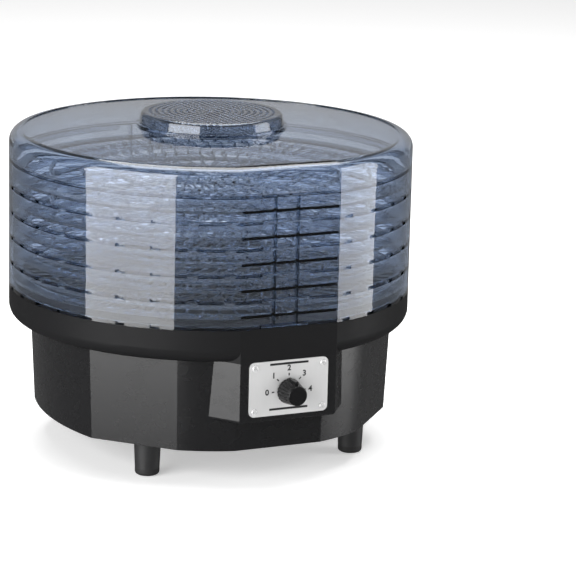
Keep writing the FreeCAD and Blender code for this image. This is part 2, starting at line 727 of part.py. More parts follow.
# ---------------------------------------------------------------- motor, fan and heater
def make_motor():
    spacing = motor_screw_spacing
    core = block(-core_half_width, core_half_width, -core_front, core_back, core_bottom, core_top)
    core = core.cut(rod(rotor_radius + rotor_air_gap, core_bottom - 1.0, core_top + 1.0))
    window_back = core_back - core_yoke
    core = core.cut(block(-core_window_half, core_window_half, window_back - core_window_depth, window_back,
                          core_bottom - 1.0, core_top + 1.0))
    for side in (-1, 1):
        core = core.cut(rod(screw_hole_radius, core_bottom - 1.0, core_top + 1.0, side * spacing))
    nodes["motor_core"] = core
    coil = block(-coil_half_width, coil_half_width, window_back - coil_build - coil_gap,
                 core_back + coil_build + coil_gap, core_bottom - coil_build - coil_gap,
                 core_top + coil_build + coil_gap)
    coil = coil.makeFillet(2.0, coil.Edges)
    coil = coil.cut(block(-coil_half_width - 1.0, coil_half_width + 1.0, window_back - coil_gap,
                          core_back + coil_gap, core_bottom - coil_gap, core_top + coil_gap))
    nodes["motor_coil"] = coil

    def bracket(z_low, boss_low, boss_high):
        strap = block(-core_half_width, core_half_width, -bracket_width / 2.0, bracket_width / 2.0,
                      z_low, z_low + bracket_thickness)
        strap = strap.fuse(rod(bearing_radius, boss_low, boss_high)).removeSplitter()
        strap = strap.cut(rod(motor_shaft_radius + running_gap, boss_low - 1.0, boss_high + 1.0))
        for side in (-1, 1):
            strap = strap.cut(rod(screw_hole_radius, z_low - 1.0, z_low + 4.0, side * spacing))
        return strap

    nodes["motor_bracket_lower"] = bracket(motor_base_height, motor_base_height - bearing_height,
                                           core_bottom)
    nodes["motor_bracket_upper"] = bracket(core_top, core_top, core_top + bracket_thickness + bearing_height)
    top = core_top + bracket_thickness
    screws = []
    for side in (-1, 1):
        shank = rod(screw_radius, cover_top + 1.0, top + 0.1, side * spacing)
        screws.append(shank.fuse(rod(screw_head_radius, top, top + screw_head_height, side * spacing)))
    nodes["motor_screws"] = Part.makeCompound(screws)
    rotor = rod(rotor_radius, core_bottom + rotor_end_gap, core_top - rotor_end_gap)
    nodes["motor_rotor"] = rotor.cut(rod(motor_shaft_radius, core_bottom, core_top))
    shaft_low = motor_base_height - bearing_height - 2.0
    nodes["motor_shaft"] = rod(motor_shaft_radius, shaft_low, shaft_top_height)


def make_fan():
    low = fan_hub_bottom
    high = fan_hub_top
    shoulder = high - fan_hub_round
    inner = fan_hub_radius - fan_hub_round
    hub = lathe([(0, low), (fan_hub_radius, low), (fan_hub_radius, shoulder), (inner, high), (0, high)],
                {2: quarter_middle(inner, shoulder, fan_hub_round, 1, 1)})
    tip = outlet_radius - fan_tip_gap
    blades = []
    for index in range(fan_blades):
        blade = block(fan_hub_radius - 2.0, tip + 4.0, -fan_blade_chord / 2.0, fan_blade_chord / 2.0,
                      -fan_blade_thickness / 2.0, fan_blade_thickness / 2.0)
        blade.rotate(ORIGIN, Vector(1, 0, 0), fan_blade_pitch)
        blade.translate(Vector(0, 0, (low + high) / 2.0))
        blades.append(turned_about_z(blade, 360.0 * index / fan_blades))
    sweep = tube(tip, fan_hub_radius - 2.0, low, high)
    blades = [blade.common(sweep) for blade in blades]
    fan = fused([hub] + blades)
    nodes["fan_blades"] = fan.cut(rod(motor_shaft_radius, low - 1.0, high + 1.0))
    clip = rod(clip_radius, high, high + clip_thickness)
    nodes["fan_clip"] = clip.cut(rod(motor_shaft_radius, high - 1.0, high + 3.0))


def make_heater():
    low = heater_height
    high = low + heater_plate_height
    reach = outlet_radius - 0.5
    half = heater_plate_thickness / 2.0
    plate = block(-half, half, -reach, reach, low, high)
    tab = block(-half, half, -outlet_radius - duct_wall, outlet_radius + duct_wall,
                low + heater_tab_inset, high - heater_tab_inset)
    cross = fused([plate, tab, turned_about_z(plate, 90.0), turned_about_z(tab, 90.0)])
    seat = high - heater_coil_thickness
    coils = []
    for share in heater_coil_shares:
        radius = share * outlet_radius
        cross = cross.cut(Part.makeTorus(radius, heater_coil_thickness + 0.15, Vector(0, 0, seat), Z_AXIS))
        cross = cross.cut(tube(radius + heater_coil_thickness + 0.15, radius - heater_coil_thickness - 0.15,
                               seat, high + 1.0))
        coils.append(Part.makeTorus(radius, heater_coil_thickness, Vector(0, 0, seat), Z_AXIS))
    nodes["heater_frame"] = cross
    nodes["heater_coils"] = Part.makeCompound(coils)
    wall = outlet_radius + duct_wall
    place_z = (duct_bottom + ledge_top) / 2.0
    stat = Part.makeCylinder(thermostat_radius, thermostat_height, Vector(wall, 0, place_z), Vector(1, 0, 0))
    stat = stat.common(tube(wall + thermostat_height + 5.0, wall, place_z - 20.0, place_z + 20.0))
    nodes["thermostat"] = turned_about_z(stat, 45.0)
    fuse = Part.makeCylinder(fuse_radius, fuse_length, Vector(wall + fuse_radius, 0, place_z - 8.0), Z_AXIS)
    nodes["thermal_fuse"] = turned_about_z(fuse, 135.0)


# ---------------------------------------------------------------- terminal block and cord gland
def make_terminals():
    back = body_bottom_radius - terminal_inset
    block_shape = block(-terminal_length / 2.0, terminal_length / 2.0, back - terminal_width, back,
                        cover_top, cover_top + terminal_height)
    step = terminal_length / terminal_ways
    for index in range(terminal_ways):
        x = -terminal_length / 2.0 + (index + 0.5) * step
        middle = back - terminal_width / 2.0
        block_shape = block_shape.cut(rod(terminal_screw_radius, cover_top + terminal_floor,
                                          cover_top + terminal_height + 1.0, x, middle))
        wire_way = Part.makeCylinder(terminal_wire_radius, terminal_width + 2.0,
                                     Vector(x, back - terminal_width - 1.0, cover_top + terminal_floor),
                                     Vector(0, 1, 0))
        block_shape = block_shape.cut(wire_way)
    nodes["terminal_block"] = block_shape
    outside = gland_pad_distance
    inside = gland_pad_distance - housing_wall
    gland = forward_rod(gland_hole_radius - 0.1, -outside, -inside, 0, gland_height)
    flange = forward_rod(gland_flange_radius, -(outside + gland_flange_thickness), -outside, 0, gland_height)
    inner = forward_rod(gland_flange_radius, -inside, -(inside - gland_flange_thickness), 0, gland_height)
    gland = fused([gland, flange, inner])
    bore = forward_rod(gland_bore_radius, -(outside + 20.0), -(inside - 20.0), 0, gland_height)
    nodes["cord_gland"] = gland.cut(bore)


# ---------------------------------------------------------------- trays
def tray_floor():
    """The slatted floor: rings joined by ribs, with the ribs of neighbouring bands leaning opposite ways."""
    holes = [Part.Wire([Part.makeCircle(floor_rings[0], Vector(0, 0, floor_height), Z_AXIS)])]
    for band, count in enumerate(floor_ribs):
        low = floor_rings[band] + floor_ring_width
        high = floor_rings[band + 1]
        rib = math.degrees(floor_rib_width / ((low + high) / 2.0))
        step = 360.0 / count
        lean = floor_rib_sweep[band]
        for index in range(count):
            start = index * step + rib / 2.0
            holes.append(sector_wire(low, high, start, start + step - rib, floor_height, lean))
    sheet = Part.Face(outline(tray_wall, floor_height))
    thickness = Vector(0, 0, floor_thickness)
    cutters = [Part.Face(wire).extrude(thickness) for wire in holes]
    return sheet.extrude(thickness).cut(cutters)


def tray_wall_shape():
    """The tray's wall, its lower lip and the skirt that drops into whatever is below."""
    wall = wall_band(0.0, tray_wall, 0.0, tray_pitch)
    lip_width = skirt_inset + skirt_wall
    lip = wall_band(0.0, lip_width, 0.0, lip_height)
    skirt = wall_band(skirt_inset, skirt_wall, -skirt_depth, lip_height)
    shape = fused([wall, lip, skirt])
    cuts = []
    notch_depth = skirt_inset - 0.1
    for index in range(notch_count):
        angle = notch_first_angle + index * notch_step
        notch = block(-notch_width / 2.0, notch_width / 2.0, -(outer_radius + 2.0),
                      -(outer_radius - notch_depth), -0.5, notch_height)
        cuts.append(turned_about_z(notch, angle))
        if index < notch_count - 1:
            cuts.append(turned_about_z(notch, -angle))
    cuts.append(block(front_slot_shift - front_slot_width / 2.0, front_slot_shift + front_slot_width / 2.0,
                      -(flat_distance + 2.0), -(flat_distance - notch_depth), -0.5, notch_height))
    return shape.cut(cuts + skirt_gaps(0.0))


def skirt_gaps(seam):
    """Where the skirt is left out, front and back, to clear the posts of the tray below."""
    half = front_slot_width / 2.0
    depth = skirt_inset + skirt_wall + 1.0
    low = seam - skirt_depth - 1.0
    return [block(front_slot_shift - half, front_slot_shift + half, -flat_distance - 1.0,
                  depth - flat_distance, low, seam),
            block(back_post_shift - half, back_post_shift + half, outer_radius - depth - 1.5,
                  outer_radius + 1.0, low, seam)]


def tray_posts():
    """A pair of upright posts on the wall's inner face at the front and another at the back."""
    low = lip_height / 2.0
    top = tray_pitch - post_top_gap
    half = post_width / 2.0
    back_wall = slab(tray_wall / 2.0, low, top)
    posts = []
    for side in (-1, 1):
        x = front_slot_shift + side * post_spacing / 2.0
        posts.append(block(x - half, x + half, tray_wall / 2.0 - flat_distance,
                           post_depth - flat_distance, low, top))
        x = back_post_shift + side * post_spacing / 2.0
        post = block(x - half, x + half, outer_radius - post_depth - 1.0, outer_radius, low, top)
        posts.append(post.common(back_wall))
    return posts


def make_trays():
    wall = fused([tray_wall_shape()] + tray_posts())
    floor = tray_floor().cut(wall)
    for level in range(tray_count):
        lift = Vector(0, 0, rim_top + level * tray_pitch)
        for suffix, shape in (("", wall), ("_floor", floor)):
            copy = shape.copy()
            copy.translate(lift)
            nodes["tray_" + str(level + 1) + suffix] = copy


# ---------------------------------------------------------------- lid and vent
def dome_radius(rise, reach):
    """The radius of a shallow dome that rises so much over a given reach."""
    return (reach * reach + rise * rise) / (2.0 * rise)


def lid_form(inset):
    """The lid's outer form, moved in by inset: upright wall, round shoulder, recessed and slightly domed top."""
    crown = lid_crown - inset
    form = slab(inset, lid_seam - 1.0, crown)
    top_edges = [edge for edge in form.Edges if edge.BoundBox.ZMin > crown - 0.01]
    form = form.makeFillet(lid_round - inset, top_edges)
    form = form.cut(slab(lid_crown_width, panel_height - inset, crown + 1.0))
    reach = outer_radius - lid_crown_width
    radius = dome_radius(lid_dome_rise, reach)
    ball = Part.makeSphere(radius, Vector(0, 0, panel_height - inset + lid_dome_rise - radius))
    dome = slab(lid_crown_width, panel_height - inset - 1.0, panel_height + lid_dome_rise + 2.0).common(ball)
    return fused([form, dome])


def dome_top():
    return panel_height + lid_dome_rise


def vent_holes(z_low, z_high, first_turn):
    """The vent's pattern of small round holes, in rings."""
    holes = []
    for ring in range(1, vent_hole_rings + 1):
        radius = ring * vent_hole_pitch
        count = 6 * ring
        for index in range(count):
            holes.append(rod_at(vent_hole_radius, z_low, z_high, radius, first_turn + 360.0 * index / count))
    return holes


def perforated_disc(radius, z_low, z_high, first_turn):
    """A round plate with the vent's hole pattern."""
    return rod(radius, z_low, z_high).cut(vent_holes(z_low - 1.0, z_high + 1.0, first_turn))


def vent_seat():
    """The level on which the vent cap turns."""
    return dome_top() + vent_ring_height - vent_ring_sink


def make_lid():
    shell = lid_form(0.0).cut(lid_form(lid_wall))
    shell = shell.cut(slab(-2.0, lid_seam - 2.0, lid_seam))
    skirt = wall_band(skirt_inset, skirt_wall, lid_seam - skirt_depth, lid_seam + lip_height)
    lip = wall_band(0.0, skirt_inset + skirt_wall, lid_seam, lid_seam + lip_height)
    seat = vent_seat()
    shell = shell.cut(rod(vent_grille_radius - 1.0, lid_seam + 5.0, seat + 20.0))
    ring = tube(vent_ring_radius, vent_grille_radius - 1.0, dome_top() - 3.6, seat)
    plate = perforated_disc(vent_grille_radius, seat - vent_plate_thickness, seat, 0.0)
    lid = fused([shell, skirt, lip, ring, plate]).cut(skirt_gaps(lid_seam))
    lid = lid.cut(rod(pivot_radius + running_gap, seat - 5.0, seat + 5.0))
    top = slab(lid_crown_width, lid_seam - skirt_depth, seat + 1.0)
    nodes["lid"] = lid.cut(top)
    nodes["lid_top"] = lid.common(top)


def make_vent_cap():
    low = vent_seat() + cap_gap
    high = low + cap_height
    shoulder = high - cap_shoulder
    wide = cap_radius - cap_draft
    outer = lathe([(0, low), (cap_radius, low), (wide, shoulder), (cap_top_radius, high), (0, high)],
                  {2: (wide - 1.0, high - 0.3 * cap_shoulder)})
    inner = lathe([(0, low - 1.0), (cap_radius - cap_wall, low - 1.0), (wide - cap_wall, shoulder - 0.5),
                   (cap_top_radius - 1.5, high - cap_wall), (0, high - cap_wall)])
    cap = outer.cut(inner)
    cap = cap.cut(vent_holes(high - 2.0 * cap_wall, high + 1.0, cap_hole_turn))
    stem = rod(pivot_radius + 2.0, low, high - cap_wall + 0.5)
    cap = fused([cap, stem])
    nodes["vent_cap"] = cap.cut(rod(pivot_barb_radius, low - 1.0, high - 2.0 * cap_wall))
    seat = vent_seat()
    under = seat - vent_plate_thickness - cap_gap
    pin = rod(pivot_radius, under, low)
    head = rod(pivot_head_radius, under - pivot_head_thickness, under)
    barb = rod(pivot_barb_radius, low - 0.5, low + cap_height / 2.0)
    nodes["vent_pivot"] = fused([pin, head, barb])


# ---------------------------------------------------------------- build and write
make_housing()
make_bottom_cover()
make_feet()
make_deck()
make_outlet_collar()
make_outlet_grille()
make_air_duct()
make_controls()
make_motor()
make_fan()
make_heater()
make_terminals()
make_trays()
make_lid()
make_vent_cap()

knob_tip_distance = flat_distance + plate_thickness + knob_gap + knob_length
centring_shift = Vector(0, (knob_tip_distance - outer_radius) / 2.0, 0)
os.makedirs("parts", exist_ok=True)
for name, shape in nodes.items():
    shape.translate(centring_shift)
    shape.exportStep(os.path.join("parts", name + ".step"))
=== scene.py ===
"""Food dehydrator: finishes, printed dial, heater wire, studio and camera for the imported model."""

import json
import math

import bmesh
import bpy
from bpy.props import FloatProperty, FloatVectorProperty, IntProperty, PointerProperty
from mathutils import Matrix, Vector


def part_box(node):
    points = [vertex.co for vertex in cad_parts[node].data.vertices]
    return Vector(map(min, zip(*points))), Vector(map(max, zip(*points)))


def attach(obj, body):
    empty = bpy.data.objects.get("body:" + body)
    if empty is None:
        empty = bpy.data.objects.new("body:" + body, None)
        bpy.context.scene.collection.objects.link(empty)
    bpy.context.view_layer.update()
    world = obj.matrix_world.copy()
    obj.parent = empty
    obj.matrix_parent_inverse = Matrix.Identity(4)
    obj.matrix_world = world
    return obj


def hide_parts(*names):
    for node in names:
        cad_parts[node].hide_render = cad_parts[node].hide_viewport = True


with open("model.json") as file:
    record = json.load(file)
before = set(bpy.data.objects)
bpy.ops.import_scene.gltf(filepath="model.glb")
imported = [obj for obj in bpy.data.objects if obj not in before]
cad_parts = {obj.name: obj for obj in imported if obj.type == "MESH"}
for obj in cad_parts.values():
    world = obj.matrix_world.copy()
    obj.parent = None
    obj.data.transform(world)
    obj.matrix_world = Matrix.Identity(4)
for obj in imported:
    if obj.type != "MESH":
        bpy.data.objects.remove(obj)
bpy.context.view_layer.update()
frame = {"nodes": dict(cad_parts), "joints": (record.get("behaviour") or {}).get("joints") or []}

bl_info = {
    "name": "Food dehydrator",
    "version": (1, 0, 0),
    "blender": (4, 5, 0),
    "location": "3D View > Sidebar > Dehydrator",
    "description": "Finishes and small pieces of a stacking food dehydrator, with its studio",
    "category": "Object",
}

TRAYS = tuple(name for name in frame["nodes"] if name.startswith("tray_"))
OUTLET = tuple(name for name in frame["nodes"] if name.startswith("outlet_"))
PLATE_LOW, PLATE_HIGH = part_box("control_plate")
KNOB_AXIS = Vector(next(j for j in frame["joints"] if j["name"] == "knob_turn")["pos_m"])
FAN_AXIS = Vector(next(j for j in frame["joints"] if j["name"] == "fan_spin")["pos_m"])


# ------------------------------------------------------------------ settings
def colour_setting(name, description, default):
    return FloatVectorProperty(name=name, description=description, default=default, size=3,
                               min=0.0, max=1.0, subtype="COLOR")


def share_setting(name, description, default, high=1.0):
    return FloatProperty(name=name, description=description, default=default, min=0.0, max=high,
                         subtype="FACTOR")


def length_setting(name, description, default):
    return FloatProperty(name=name, description=description, default=default, min=0.0,
                         unit="LENGTH", subtype="DISTANCE", precision=5)


def angle_setting(name, description, degrees):
    return FloatProperty(name=name, description=description, default=math.radians(degrees),
                         unit="ROTATION", subtype="ANGLE")


class SmokedPlasticSettings(bpy.types.PropertyGroup):
    """The clear tinted plastic of the trays, lid and vent cap; a low index keeps the inside legible."""

    tint: colour_setting("Tint", "Tint of the surface", (0.93, 0.96, 1.0))
    deep_tint: colour_setting("Deep tint", "Tint where the moulding flowed thicker", (0.87, 0.91, 0.97))
    smoke: colour_setting("Smoke", "Colour left over by the smoke in the plastic", (0.36, 0.44, 0.55))
    density: FloatProperty(name="Density", description="Strength of the smoke, per metre", default=240.0,
                           min=0.0, max=2000.0)
    gloss_low: share_setting("Clean roughness", "Roughness of clean areas", 0.0)
    gloss_high: share_setting("Handled roughness", "Roughness of handled areas", 0.03)
    ripple: length_setting("Ripple", "Depth of the mould's slow ripple", 0.000004)
    ior: FloatProperty(name="Index", description="Refractive index", default=1.14, min=1.0, max=2.0)


class BaseFinishSettings(bpy.types.PropertyGroup):
    """The opaque mouldings of the base."""

    shell: colour_setting("Housing", "Satin housing colour", (0.0085, 0.0085, 0.0092))
    inner: colour_setting("Inner parts", "Matt colour of deck, grille and cover", (0.020, 0.020, 0.021))
    rubber: colour_setting("Rubber", "Foot pads and cord gland", (0.016, 0.016, 0.016))
    grain_size: length_setting("Grain size", "Size of the moulded grain", 0.0009)
    grain_depth: length_setting("Grain depth", "Depth of the moulded grain", 0.00003)
    roughness: share_setting("Housing roughness", "Middle roughness of the satin housing", 0.27)
    rim_roughness: share_setting("Rim roughness", "Middle roughness of the rim", 0.52)
    gloss: share_setting("Housing gloss", "Strength of the body's reflections", 0.42)
    rim_gloss: share_setting("Rim gloss", "Strength of the rim's reflections", 0.16)


class ControlSettings(bpy.types.PropertyGroup):
    """The control plate, its printed dial and the knob."""

    plate: colour_setting("Plate", "Brushed plate colour", (0.64, 0.64, 0.64))
    plate_metallic: share_setting("Plate metallic", "How metallic the satin plate looks", 0.25)
    screw_metallic: share_setting("Screw metallic", "How metallic the bright screws look", 0.4)
    ink: colour_setting("Ink", "Printed marks", (0.012, 0.012, 0.013))
    knob: colour_setting("Knob", "Knob colour", (0.006, 0.006, 0.0065))
    tick_inner: length_setting("Tick start", "Dial centre to the start of a tick", 0.0128)
    tick_outer: length_setting("Tick end", "Dial centre to the end of a tick", 0.0150)
    tick_width: length_setting("Tick width", "Width of a tick", 0.0010)
    numeral_radius: length_setting("Numeral distance", "Dial centre to the numerals", 0.0192)
    numeral_size: length_setting("Numeral size", "Height of the type", 0.0066)
    ink_height: length_setting("Ink height", "Thickness of the print", 0.00006)
    rule_length: length_setting("Rule length", "Length of the printed rules", 0.0340)
    rule_width: length_setting("Rule width", "Width of the printed rules", 0.0018)
    low_rule: length_setting("Low rule", "Plate's lower edge to the lower rule", 0.0052)
    high_rule: length_setting("High rule", "Plate's upper edge to the upper rule", 0.0026)
    settings: IntProperty(name="Settings", description="Number of dial positions", default=5,
                          min=2, max=9)
    step: angle_setting("Step", "Turn from one dial position to the next", 45.0)


class HeaterWireSettings(bpy.types.PropertyGroup):
    """The coiled resistance wire that lies in the heater's cross plates."""

    wire_radius: length_setting("Wire radius", "Radius of the wire", 0.00035)
    coil_pitch: length_setting("Coil pitch", "Distance from one turn to the next", 0.0022)
    colour: colour_setting("Colour", "Oxidised wire", (0.30, 0.27, 0.25))


class StudioSettings(bpy.types.PropertyGroup):
    """Floor, soft lights and camera."""

    floor_colour: colour_setting("Floor", "Floor colour", (0.93, 0.93, 0.93))
    floor_size: length_setting("Floor size", "Half width of the floor", 14.0)
    key_power: FloatProperty(name="Left softbox", description="Power", default=75.0, unit="POWER")
    side_power: FloatProperty(name="Right softbox", description="Power", default=28.0, unit="POWER")
    top_power: FloatProperty(name="Overhead softbox", description="Power", default=70.0, unit="POWER")
    back_power: FloatProperty(name="Back wall light", description="Power", default=7.0, unit="POWER")
    ambient: share_setting("Ambient", "Brightness of the dim studio", 0.15)
    aim_point: FloatVectorProperty(name="Aim", description="Point that the camera looks at",
                                   default=(0.0612, -0.0216, 0.1299), size=3, subtype="TRANSLATION")
    distance: length_setting("Distance", "Camera to its aim point", 2.4398)
    azimuth: angle_setting("Azimuth", "Camera's turn to the object's left", 25.03)
    elevation: angle_setting("Elevation", "Camera's height above the level", 13.61)
    roll: angle_setting("Roll", "Camera's small tilt about its own line of sight", 1.36)
    lens: FloatProperty(name="Lens", description="Focal length in millimetres", default=178.56, min=1.0)


# ------------------------------------------------------------------ shader building
def shader_node(tree, kind, place=(0, 0), **values):
    made = tree.nodes.new(kind)
    made.location = place
    for name, value in values.items():
        setattr(made, name, value)
    return made


def new_group(name, inputs, outputs):
    """An empty shader group with float, colour or vector sockets: (name, kind, default)."""
    tree = bpy.data.node_groups.new(name, "ShaderNodeTree")
    for label, kind, default in inputs:
        socket = tree.interface.new_socket(label, in_out="INPUT", socket_type="NodeSocket" + kind)
        if default is not None:
            socket.default_value = default
    for label, kind in outputs:
        tree.interface.new_socket(label, in_out="OUTPUT", socket_type="NodeSocket" + kind)
    start = shader_node(tree, "NodeGroupInput", (-900, 0))
    end = shader_node(tree, "NodeGroupOutput", (600, 0))
    return tree, start, end


def moulded_grain_group():
    """Fine pitted grain of a moulded surface, and a faint shade that follows it."""
    tree, start, end = new_group(
        "Moulded grain", [("Size", "Float", 0.001), ("Shade", "Float", 0.1)],
        [("Height", "Float"), ("Brightness", "Float")])
    place = shader_node(tree, "ShaderNodeTexCoord", (-900, 300))
    inverse = shader_node(tree, "ShaderNodeMath", (-700, 100), operation="DIVIDE")
    inverse.inputs[0].default_value = 1.0
    pits = shader_node(tree, "ShaderNodeTexVoronoi", (-500, 300), feature="SMOOTH_F1")
    cloud = shader_node(tree, "ShaderNodeTexNoise", (-500, 0))
    cloud.inputs["Detail"].default_value = 3.0
    blend = shader_node(tree, "ShaderNodeMath", (-250, 150), operation="MULTIPLY")
    shade = shader_node(tree, "ShaderNodeMapRange", (0, -100))
    lowest = shader_node(tree, "ShaderNodeMath", (-250, -200), operation="SUBTRACT")
    lowest.inputs[0].default_value = 1.0
    links = tree.links
    links.new(start.outputs["Size"], inverse.inputs[1])
    links.new(place.outputs["Object"], pits.inputs["Vector"])
    links.new(place.outputs["Object"], cloud.inputs["Vector"])
    links.new(inverse.outputs[0], pits.inputs["Scale"])
    links.new(inverse.outputs[0], cloud.inputs["Scale"])
    links.new(pits.outputs["Distance"], blend.inputs[0])
    links.new(cloud.outputs["Fac"], blend.inputs[1])
    links.new(start.outputs["Shade"], lowest.inputs[1])
    links.new(cloud.outputs["Fac"], shade.inputs["Value"])
    links.new(lowest.outputs[0], shade.inputs["To Min"])
    links.new(blend.outputs[0], end.inputs["Height"])
    links.new(shade.outputs["Result"], end.inputs["Brightness"])
    return tree


def handling_marks_group():
    """Slow patches and fine wipe streaks between a clean and a handled roughness."""
    tree, start, end = new_group(
        "Handling marks",
        [("Patch size", "Float", 0.05), ("Clean", "Float", 0.05), ("Handled", "Float", 0.1)],
        [("Roughness", "Float"), ("Mask", "Float")])
    place = shader_node(tree, "ShaderNodeTexCoord", (-900, 300))
    inverse = shader_node(tree, "ShaderNodeMath", (-700, 100), operation="DIVIDE")
    inverse.inputs[0].default_value = 1.0
    patches = shader_node(tree, "ShaderNodeTexNoise", (-500, 200))
    patches.inputs["Detail"].default_value = 5.0
    patches.inputs["Roughness"].default_value = 0.62
    stretch = shader_node(tree, "ShaderNodeVectorMath", (-700, -200), operation="MULTIPLY")
    stretch.inputs[1].default_value = (70.0, 70.0, 110.0)
    streaks = shader_node(tree, "ShaderNodeTexNoise", (-500, -200))
    streaks.inputs["Scale"].default_value = 1.0
    both = shader_node(tree, "ShaderNodeMath", (-300, 50), operation="MULTIPLY")
    spread = shader_node(tree, "ShaderNodeMapRange", (-100, 50), interpolation_type="SMOOTHSTEP")
    spread.inputs["From Min"].default_value = 0.14
    spread.inputs["From Max"].default_value = 0.38
    rough = shader_node(tree, "ShaderNodeMapRange", (150, 50))
    links = tree.links
    links.new(start.outputs["Patch size"], inverse.inputs[1])
    links.new(place.outputs["Object"], patches.inputs["Vector"])
    links.new(inverse.outputs[0], patches.inputs["Scale"])
    links.new(place.outputs["Object"], stretch.inputs[0])
    links.new(stretch.outputs[0], streaks.inputs["Vector"])
    links.new(patches.outputs["Fac"], both.inputs[0])
    links.new(streaks.outputs["Fac"], both.inputs[1])
    links.new(both.outputs[0], spread.inputs["Value"])
    links.new(spread.outputs["Result"], rough.inputs["Value"])
    links.new(start.outputs["Clean"], rough.inputs["To Min"])
    links.new(start.outputs["Handled"], rough.inputs["To Max"])
    links.new(rough.outputs["Result"], end.inputs["Roughness"])
    links.new(spread.outputs["Result"], end.inputs["Mask"])
    return tree


def brushed_lines_group():
    """Long fine lines, stretched one way: Across holds the lines per metre along X, Y and Z."""
    tree, start, end = new_group(
        "Brushed lines", [("Across", "Vector", (2500.0, 2500.0, 60.0))],
        [("Height", "Float"), ("Brightness", "Float")])
    place = shader_node(tree, "ShaderNodeTexCoord", (-900, 300))
    stretch = shader_node(tree, "ShaderNodeVectorMath", (-650, 200), operation="MULTIPLY")
    lines = shader_node(tree, "ShaderNodeTexNoise", (-450, 200))
    lines.inputs["Scale"].default_value = 1.0
    lines.inputs["Detail"].default_value = 6.0
    lines.inputs["Roughness"].default_value = 0.7
    shade = shader_node(tree, "ShaderNodeMapRange", (-150, 0))
    shade.inputs["From Min"].default_value = 0.3
    shade.inputs["From Max"].default_value = 0.7
    shade.inputs["To Min"].default_value = 0.82
    shade.inputs["To Max"].default_value = 1.0
    links = tree.links
    links.new(place.outputs["Object"], stretch.inputs[0])
    links.new(start.outputs["Across"], stretch.inputs[1])
    links.new(stretch.outputs[0], lines.inputs["Vector"])
    links.new(lines.outputs["Fac"], shade.inputs["Value"])
    links.new(lines.outputs["Fac"], end.inputs["Height"])
    links.new(shade.outputs["Result"], end.inputs["Brightness"])
    return tree


GROUP_MAKERS = {
    "Moulded grain": moulded_grain_group,
    "Handling marks": handling_marks_group,
    "Brushed lines": brushed_lines_group,
}


def effect(tree, name, place=(-600, 0), **values):
    """Places one of the shared effect groups, building it the first time; values set its inputs."""
    group = bpy.data.node_groups.get(name) or GROUP_MAKERS[name]()
    placed = shader_node(tree, "ShaderNodeGroup", place, node_tree=group)
    for label, value in values.items():
        placed.inputs[label.replace("_", " ")].default_value = value
    return placed


def new_finish(name, roughness=0.5, metallic=0.0, **uniform):
    """A material with its Principled shader; uniform values go straight on the shader's sockets."""
    material = bpy.data.materials.new(name)
    material.use_nodes = True
    tree = material.node_tree
    shader = tree.nodes["Principled BSDF"]
    shader.inputs["Roughness"].default_value = roughness
    shader.inputs["Metallic"].default_value = metallic
    for label, value in uniform.items():
        shader.inputs[label.replace("_", " ")].default_value = value
    return material, tree, shader


def shaded_colour(tree, shader, low, high, factor):
    """Base Color that runs between two colours by a factor socket."""
    mix = shader_node(tree, "ShaderNodeMix", (-300, 200), data_type="RGBA")
    mix.inputs["A"].default_value = (*low, 1.0)
    mix.inputs["B"].default_value = (*high, 1.0)
    tree.links.new(factor, mix.inputs["Factor"])
    tree.links.new(mix.outputs["Result"], shader.inputs["Base Color"])


def bumped(tree, shader, height, depth):
    """Relief of the given depth in metres from a height socket."""
    bump = shader_node(tree, "ShaderNodeBump", (-250, -300))
    bump.inputs["Strength"].default_value = 1.0
    bump.inputs["Distance"].default_value = depth
    tree.links.new(height, bump.inputs["Height"])
    tree.links.new(bump.outputs["Normal"], shader.inputs["Normal"])


def scaled(colour, share):
    return tuple(min(1.0, part * share) for part in colour)


def moulded_finish(name, colour, roughness, grain_size, grain_depth, spread=0.06, **uniform):
    """Opaque moulded plastic or rubber: fine grain, slight shade changes and handling marks."""
    material, tree, shader = new_finish(name, **uniform)
    grain = effect(tree, "Moulded grain", (-700, 200), Size=grain_size, Shade=0.3)
    marks = effect(tree, "Handling marks", (-700, -100), Patch_size=0.045,
                   Clean=roughness - spread, Handled=roughness + spread)
    shaded_colour(tree, shader, scaled(colour, 0.78), scaled(colour, 1.15), grain.outputs["Brightness"])
    tree.links.new(marks.outputs["Roughness"], shader.inputs["Roughness"])
    bumped(tree, shader, grain.outputs["Height"], grain_depth)
    return material


def metal_finish(name, colour, roughness, across, depth=0.00001, spread=0.08, metallic=1.0):
    """Metal with drawn or brushed lines; a low metallic share makes it satin and pale."""
    material, tree, shader = new_finish(name, metallic=metallic)
    lines = effect(tree, "Brushed lines", (-700, 200), Across=across)
    marks = effect(tree, "Handling marks", (-700, -100), Patch_size=0.03,
                   Clean=roughness - spread, Handled=roughness + spread)
    shaded_colour(tree, shader, scaled(colour, 0.72), colour, lines.outputs["Brightness"])
    tree.links.new(marks.outputs["Roughness"], shader.inputs["Roughness"])
    bumped(tree, shader, lines.outputs["Height"], depth)
    return material


def give(material, *names):
    """Puts a finish on CAD nodes."""
    for name in names:
        piece = frame["nodes"][name]
        piece.data.materials.clear()
        piece.data.materials.append(material)


def new_piece(name, mesh, material, body):
    """Links a finished mesh as a piece that rides on a body and takes its finish from a slot."""
    piece = bpy.data.objects.new(name, mesh)
    bpy.context.scene.collection.objects.link(piece)
    piece.data.materials.clear()
    piece.data.materials.append(material)
    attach(piece, body)
    return piece


